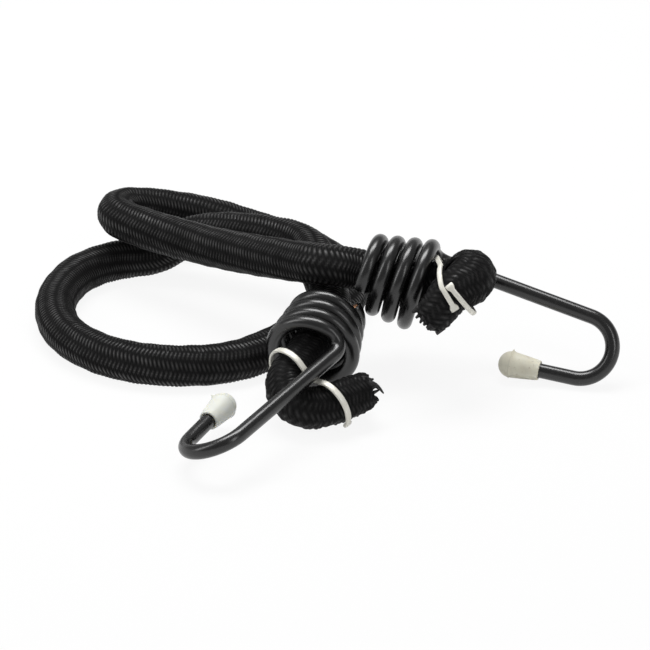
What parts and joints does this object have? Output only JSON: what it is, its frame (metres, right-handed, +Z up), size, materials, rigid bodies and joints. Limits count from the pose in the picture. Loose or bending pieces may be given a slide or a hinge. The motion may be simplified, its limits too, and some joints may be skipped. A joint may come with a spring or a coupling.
{
  "type": "bungee cord",
  "caption": "Braided stretch cord lying in loose loops, each end folded back, clipped and pulled into the conical coil of a coated wire hook with a push-on tip cap.",
  "frame": {"origin": "under the middle of the whole object's box, on the surface that the cord lies on", "axes": "+Z up from the surface, -Y towards the viewer of the picture, +X to the viewer's right"},
  "size_m": [0.1676, 0.1482, 0.0383],
  "materials": {
    "braided_cover": "matte black braided yarn",
    "rubber_core": "natural rubber strands",
    "hook_wire": "copper-washed steel, seen on the cut end",
    "hook_coating": "glossy black vinyl dip",
    "rear_cap": "ivory moulded vinyl",
    "front_cap": "milky translucent moulded vinyl",
    "clip_wire": "dull zinc-plated wire"
  },
  "bodies": {
    "cord": {"cord_cover": "braided_cover", "rubber_strand_1": "rubber_core", "rubber_strand_2": "rubber_core", "rubber_strand_3": "rubber_core", "rubber_strand_4": "rubber_core", "rear_clip": "clip_wire", "front_clip": "clip_wire"},
    "rear_hook": {"rear_hook_wire": "hook_wire", "rear_hook_coating": "hook_coating", "rear_tip_cap": "rear_cap"},
    "front_hook": {"front_hook_wire": "hook_wire", "front_hook_coating": "hook_coating", "front_tip_cap": "front_cap"}
  },
  "joints": [
    {"name": "rear_swivel", "type": "hinge", "parent": "cord", "child": "rear_hook", "pos_m": [0.02879, -0.00427, 0.02423], "axis": [0.9669, -0.1748, -0.186], "range_deg": [-55, 0]},
    {"name": "front_swivel", "type": "hinge", "parent": "cord", "child": "front_hook", "pos_m": [-0.00346, -0.025, 0.0126], "axis": [-0.265, -0.9459, -0.1874], "range_deg": [-3, 10]}
  ]
}
